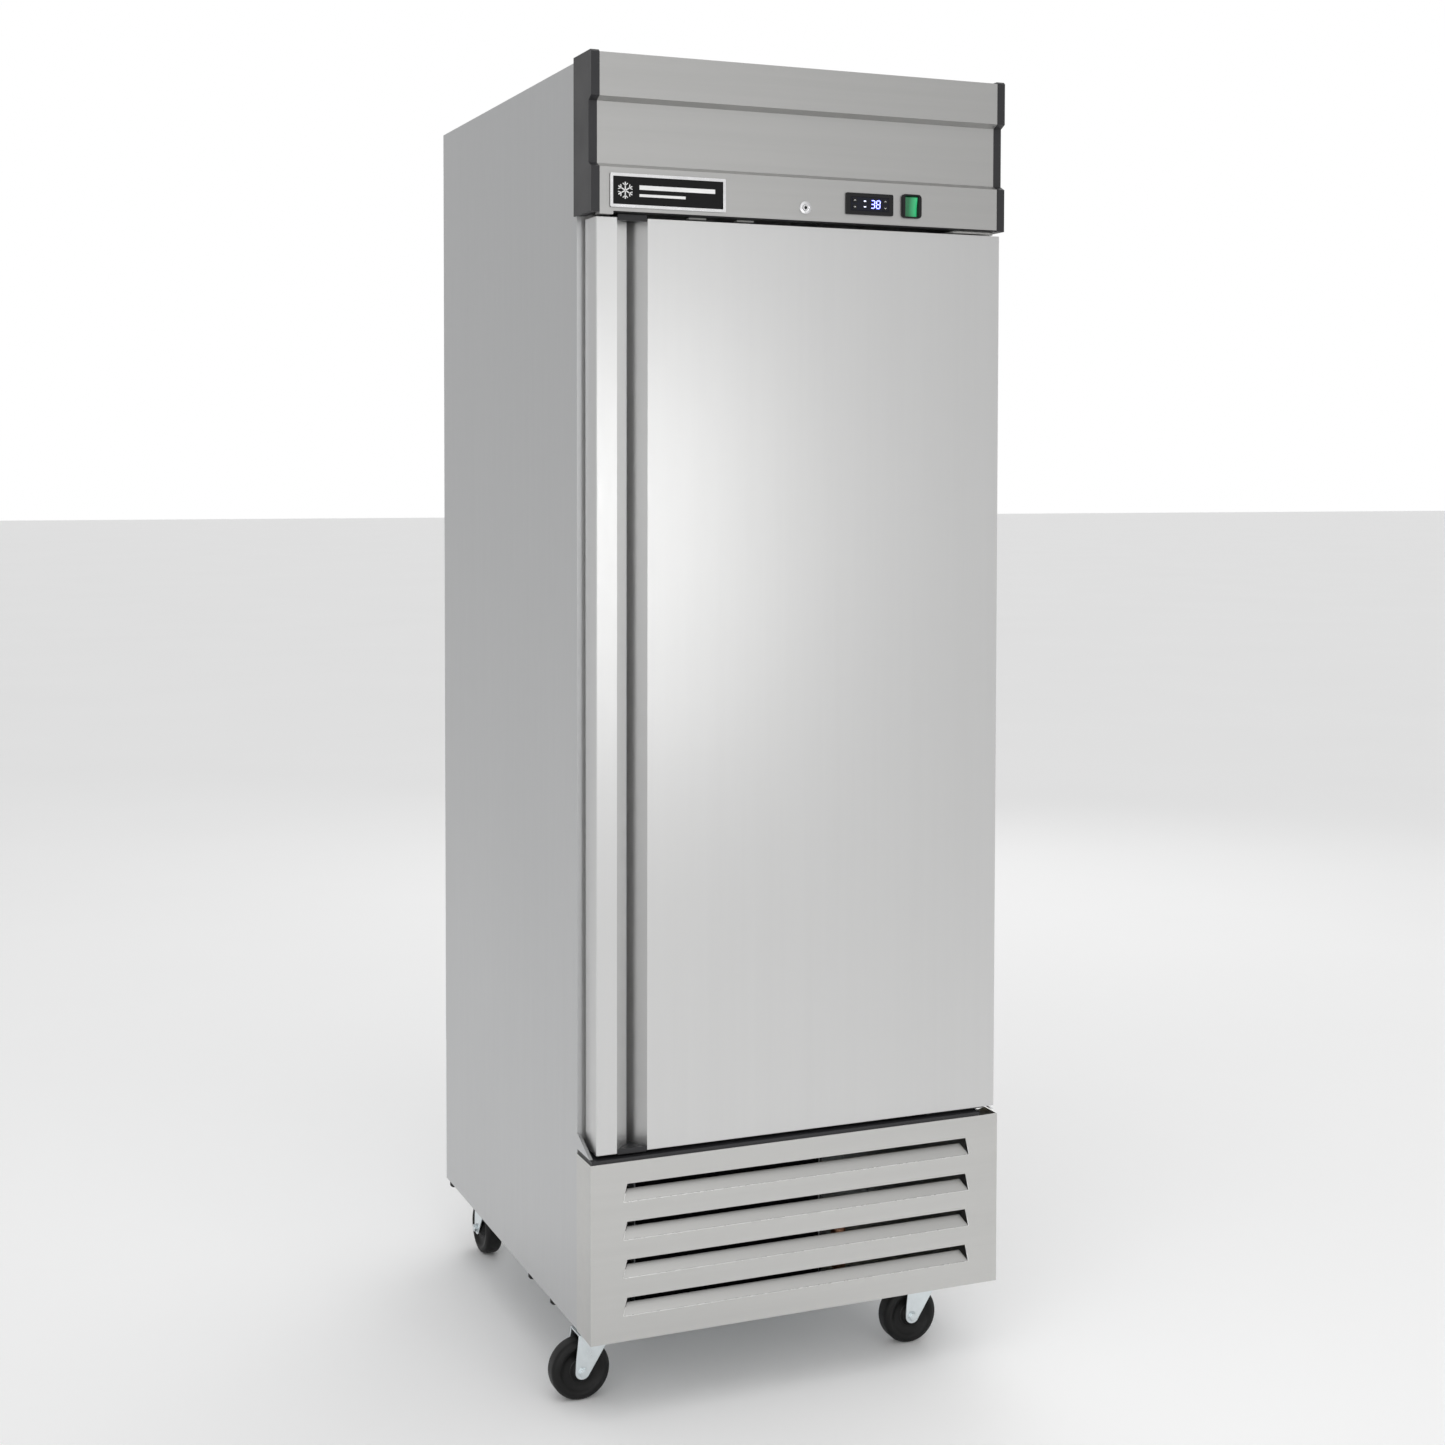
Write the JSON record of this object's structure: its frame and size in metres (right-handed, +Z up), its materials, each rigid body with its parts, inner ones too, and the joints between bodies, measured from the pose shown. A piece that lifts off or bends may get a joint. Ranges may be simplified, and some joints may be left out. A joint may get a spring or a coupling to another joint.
{
  "type": "reach in refrigerator",
  "caption": "Upright single-door commercial refrigerator on swivel casters, with an open-grip door, stepped control header, louvered base grille and wire shelves",
  "frame": {"origin": "on the floor under the middle of the object's box", "axes": "+Z up, front towards -Y, door hinge on the +X side"},
  "size_m": [0.7511, 0.8426, 2.07],
  "materials": {
    "stainless": "satin",
    "side_steel": "satin",
    "galvanised": "satin",
    "white_liner": "satin",
    "foam": "matte",
    "charcoal_plastic": "satin",
    "black_plastic": "satin",
    "gasket_rubber": "matte",
    "badge_black": "gloss",
    "display_glass": "gloss",
    "green_lens": "gloss",
    "chrome": "polished",
    "light_plastic": "satin",
    "shelf_wire": "satin",
    "zinc": "satin",
    "caster_wheel": "satin",
    "aluminium": "satin",
    "compressor_black": "satin",
    "lamp_white": "satin"
  },
  "bodies": {
    "root": {"cabinet_side_left": "side_steel", "cabinet_side_right": "side_steel", "cabinet_back": "galvanised", "cabinet_top": "galvanised", "cabinet_insulation": "foam", "inner_liner": "white_liner", "front_frame": "stainless", "threshold_trim": "charcoal_plastic", "base_frame": "galvanised", "front_grille": "stainless", "rear_cover": "galvanised", "power_inlet": "black_plastic", "header_panel": "stainless", "header_end_cap_left": "charcoal_plastic", "header_end_cap_right": "charcoal_plastic", "header_rail": "black_plastic", "badge_plate": "badge_black", "controller_housing": "black_plastic", "controller_lens": "display_glass", "switch_bezel": "black_plastic", "lock_cylinder": "chrome", "top_hinge_bracket": "light_plastic", "bottom_hinge_bracket": "black_plastic", "shelf_lower": "shelf_wire", "shelf_middle": "shelf_wire", "shelf_upper": "shelf_wire", "evaporator_cover": "white_liner", "evaporator_coil": "aluminium", "evaporator_fan_motor": "aluminium", "interior_lamp": "lamp_white", "compressor": "compressor_black", "condenser": "aluminium", "condenser_fan_motor": "aluminium", "condensate_pan": "black_plastic", "caster_plate_front_left": "zinc", "caster_plate_front_right": "zinc", "caster_plate_rear_left": "zinc", "caster_plate_rear_right": "zinc"},
    "door": {"door_skin": "stainless", "door_foam": "foam", "door_liner": "white_liner", "door_gasket": "gasket_rubber", "handle_cap_top": "charcoal_plastic", "handle_cap_bottom": "charcoal_plastic", "door_closer": "zinc", "door_top_bush": "light_plastic"},
    "rocker": {"switch_rocker": "green_lens"},
    "lock": {"lock_plug": "chrome"},
    "light_plunger": {"door_switch_light": "light_plastic"},
    "fan_plunger": {"door_switch_fan": "light_plastic"},
    "evaporator_fan": {"evaporator_fan": "black_plastic"},
    "condenser_fan": {"condenser_fan": "black_plastic"},
    "fork_front_left": {"caster_fork_front_left": "zinc"},
    "wheel_front_left": {"caster_wheel_front_left": "caster_wheel"},
    "fork_front_right": {"caster_fork_front_right": "zinc"},
    "wheel_front_right": {"caster_wheel_front_right": "caster_wheel"},
    "fork_rear_left": {"caster_fork_rear_left": "zinc"},
    "wheel_rear_left": {"caster_wheel_rear_left": "caster_wheel"},
    "fork_rear_right": {"caster_fork_rear_right": "zinc"},
    "wheel_rear_right": {"caster_wheel_rear_right": "caster_wheel"}
  },
  "joints": [
    {"name": "door_swing", "type": "hinge", "parent": "root", "child": "door", "pos_m": [0.331, -0.3875, 0.412], "axis": [0, 0, 1], "range_deg": [0, 110], "stiffness_Nm_per_rad": 2, "springref_deg": -28.65},
    {"name": "power_switch_rock", "type": "hinge", "parent": "root", "child": "rocker", "pos_m": [0.1817, -0.4115, 1.864], "axis": [1, 0, 0], "range_deg": [0, 16]},
    {"name": "lock_turn", "type": "hinge", "parent": "root", "child": "lock", "pos_m": [-0.002, -0.4175, 1.853], "axis": [0, 1, 0], "range_deg": [0, 90]},
    {"name": "door_switch_light_press", "type": "slide", "parent": "root", "child": "light_plunger", "axis": [0, 0, 1], "range_m": [0, 0.003], "stiffness_N_per_m": 400, "springref_m": -0.001},
    {"name": "door_switch_fan_press", "type": "slide", "parent": "root", "child": "fan_plunger", "axis": [0, 0, 1], "range_m": [0, 0.003], "stiffness_N_per_m": 400, "springref_m": -0.001},
    {"name": "evaporator_fan_spin", "type": "hinge", "parent": "root", "child": "evaporator_fan", "pos_m": [0, -0.0775, 1.757], "axis": [0, 0, 1], "continuous": true},
    {"name": "condenser_fan_spin", "type": "hinge", "parent": "root", "child": "condenser_fan", "pos_m": [-0.105, -0.2935, 0.262], "axis": [0, 1, 0], "continuous": true},
    {"name": "swivel_front_left", "type": "hinge", "parent": "root", "child": "fork_front_left", "pos_m": [-0.288, -0.3035, 0.117], "axis": [0, 0, 1], "continuous": true},
    {"name": "roll_front_left", "type": "hinge", "parent": "fork_front_left", "child": "wheel_front_left", "pos_m": [-0.332, -0.3035, 0.0475], "axis": [0, -1, 0], "continuous": true},
    {"name": "swivel_front_right", "type": "hinge", "parent": "root", "child": "fork_front_right", "pos_m": [0.288, -0.3035, 0.117], "axis": [0, 0, 1], "continuous": true},
    {"name": "roll_front_right", "type": "hinge", "parent": "fork_front_right", "child": "wheel_front_right", "pos_m": [0.244, -0.3035, 0.0475], "axis": [0, -1, 0], "continuous": true},
    {"name": "swivel_rear_left", "type": "hinge", "parent": "root", "child": "fork_rear_left", "pos_m": [-0.288, 0.3045, 0.117], "axis": [0, 0, 1], "continuous": true},
    {"name": "roll_rear_left", "type": "hinge", "parent": "fork_rear_left", "child": "wheel_rear_left", "pos_m": [-0.28954, 0.34847, 0.0475], "axis": [-0.9994, -0.0349, 0], "continuous": true},
    {"name": "swivel_rear_right", "type": "hinge", "parent": "root", "child": "fork_rear_right", "pos_m": [0.288, 0.3045, 0.117], "axis": [0, 0, 1], "continuous": true},
    {"name": "roll_rear_right", "type": "hinge", "parent": "fork_rear_right", "child": "wheel_rear_right", "pos_m": [0.3261, 0.3265, 0.0475], "axis": [-0.5, 0.866, 0], "continuous": true}
  ]
}
